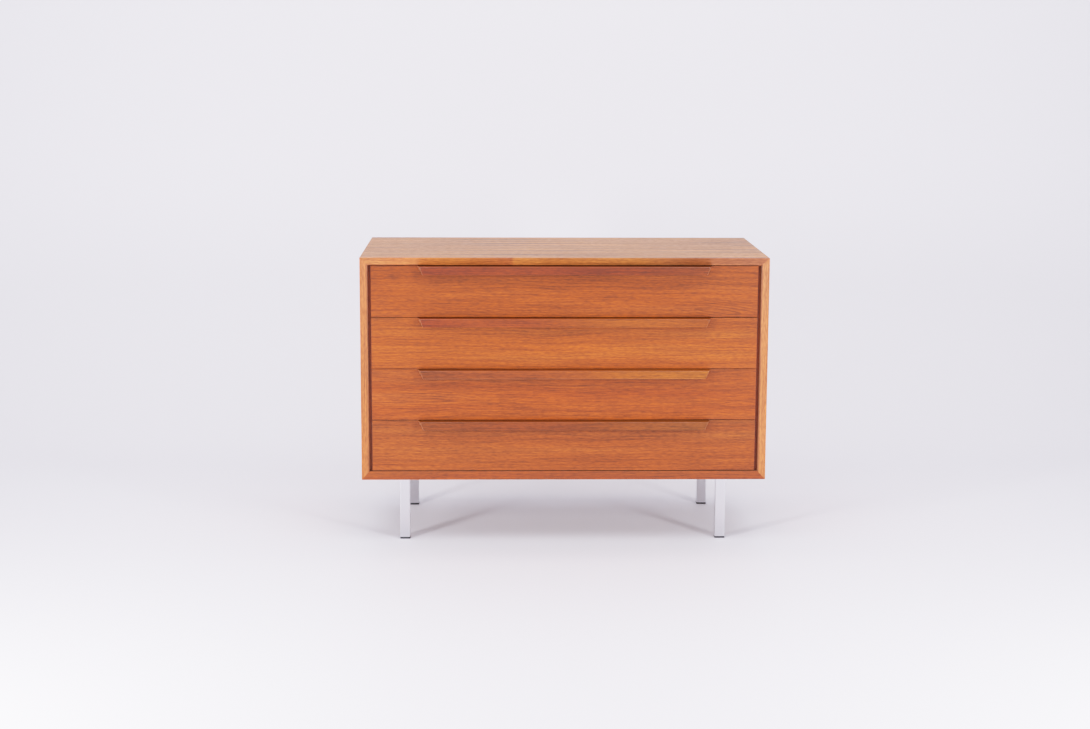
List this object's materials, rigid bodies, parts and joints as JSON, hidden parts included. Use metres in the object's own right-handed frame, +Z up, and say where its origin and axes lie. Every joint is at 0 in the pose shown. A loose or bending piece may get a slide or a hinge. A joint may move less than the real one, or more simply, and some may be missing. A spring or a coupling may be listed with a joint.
{
  "type": "chest of drawers",
  "caption": "Low, wide chest of drawers in teak with a mitred, bevelled case, full-width lip pulls on flush drawer fronts, and square chromed legs with black foot caps.",
  "frame": {"origin": "on the floor, at the centre of the chest's bounding box, pulls included", "axes": "+Z up, +X to the right as seen from the front, drawers open towards -Y"},
  "size_m": [1, 0.513, 0.717],
  "materials": {
    "teak_veneer": "oiled satin, straight grain",
    "teak_front": "oiled satin, straight grain along the drawer",
    "teak_edge": "oiled satin, solid lipping",
    "teak_pull": "oiled satin, solid wood",
    "teak_shadow": "oiled satin",
    "beech": "waxed, plain sawn",
    "plywood": "sealed veneer ply",
    "chrome": "polished plating",
    "foot_black": "moulded, fine matt",
    "zinc_screw": "zinc plated"
  },
  "bodies": {
    "case": {"top_panel": "teak_veneer", "bottom_panel": "teak_veneer", "left_side_panel": "teak_veneer", "right_side_panel": "teak_veneer", "top_lipping": "teak_edge", "bottom_lipping": "teak_edge", "left_side_lipping": "teak_edge", "right_side_lipping": "teak_edge", "corner_splines": "plywood", "back_panel": "plywood", "back_panel_screws": "zinc_screw", "runner_screws": "zinc_screw", "leg_screws": "zinc_screw", "left_reveal_strip": "teak_shadow", "right_reveal_strip": "teak_shadow", "runner_left_1": "beech", "runner_left_2": "beech", "runner_left_3": "beech", "runner_left_4": "beech", "runner_right_1": "beech", "runner_right_2": "beech", "runner_right_3": "beech", "runner_right_4": "beech", "leg_front_left": "chrome", "leg_front_right": "chrome", "leg_rear_left": "chrome", "leg_rear_right": "chrome", "foot_cap_front_left": "foot_black", "foot_cap_front_right": "foot_black", "foot_cap_rear_left": "foot_black", "foot_cap_rear_right": "foot_black"},
    "drawer_1": {"drawer_1_front": "teak_front", "drawer_1_left_side": "beech", "drawer_1_right_side": "beech", "drawer_1_back": "beech", "drawer_1_bottom": "plywood", "drawer_1_pull": "teak_pull", "drawer_1_pull_screws": "zinc_screw"},
    "drawer_2": {"drawer_2_front": "teak_front", "drawer_2_left_side": "beech", "drawer_2_right_side": "beech", "drawer_2_back": "beech", "drawer_2_bottom": "plywood", "drawer_2_pull": "teak_pull", "drawer_2_pull_screws": "zinc_screw"},
    "drawer_3": {"drawer_3_front": "teak_front", "drawer_3_left_side": "beech", "drawer_3_right_side": "beech", "drawer_3_back": "beech", "drawer_3_bottom": "plywood", "drawer_3_pull": "teak_pull", "drawer_3_pull_screws": "zinc_screw"},
    "drawer_4": {"drawer_4_front": "teak_front", "drawer_4_left_side": "beech", "drawer_4_right_side": "beech", "drawer_4_back": "beech", "drawer_4_bottom": "plywood", "drawer_4_pull": "teak_pull", "drawer_4_pull_screws": "zinc_screw"}
  },
  "joints": [
    {"name": "drawer_1_slide", "type": "slide", "parent": "case", "child": "drawer_1", "axis": [0, -1, 0], "range_m": [0, 0.35]},
    {"name": "drawer_2_slide", "type": "slide", "parent": "case", "child": "drawer_2", "axis": [0, -1, 0], "range_m": [0, 0.35]},
    {"name": "drawer_3_slide", "type": "slide", "parent": "case", "child": "drawer_3", "axis": [0, -1, 0], "range_m": [0, 0.35]},
    {"name": "drawer_4_slide", "type": "slide", "parent": "case", "child": "drawer_4", "axis": [0, -1, 0], "range_m": [0, 0.35]}
  ]
}
